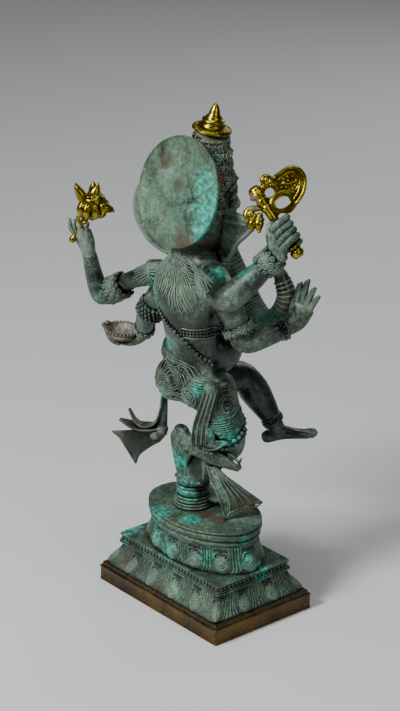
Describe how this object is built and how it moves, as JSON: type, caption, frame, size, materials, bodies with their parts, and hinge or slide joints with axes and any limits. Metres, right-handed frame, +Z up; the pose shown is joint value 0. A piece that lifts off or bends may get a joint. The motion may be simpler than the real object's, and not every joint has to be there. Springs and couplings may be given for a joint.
{
  "type": "ganesha statue",
  "caption": "Dancing elephant-headed figure in patinated bronze with four arms, a round halo plate and a gilded cap, on a double lotus plinth and slab.",
  "frame": {"origin": "centre of the slab's underside", "axes": "+Z up, the figure faces -Y, and its right side is towards -X"},
  "size_m": [0.2302, 0.1654, 0.4468],
  "materials": {
    "slab_bronze": "bare bronze, dark golden brown, worn bright at its edges",
    "plinth_bronze": "cast bronze with matt grey-green verdigris and turquoise runs",
    "figure_bronze": "cast and chased bronze with verdigris in its hollows and rubbed dark green high places",
    "halo_bronze": "flat bronze plate with pale verdigris and a turquoise stain",
    "gilt_bronze": "polished golden bronze with dark hollows"
  },
  "bodies": {
    "root": {"base_slab": "slab_bronze", "lotus_plinth": "plinth_bronze", "figure": "figure_bronze", "halo_plate": "halo_bronze", "crown_cap": "gilt_bronze", "axe": "gilt_bronze", "goad": "gilt_bronze", "bowl": "gilt_bronze"}
  },
  "joints": []
}
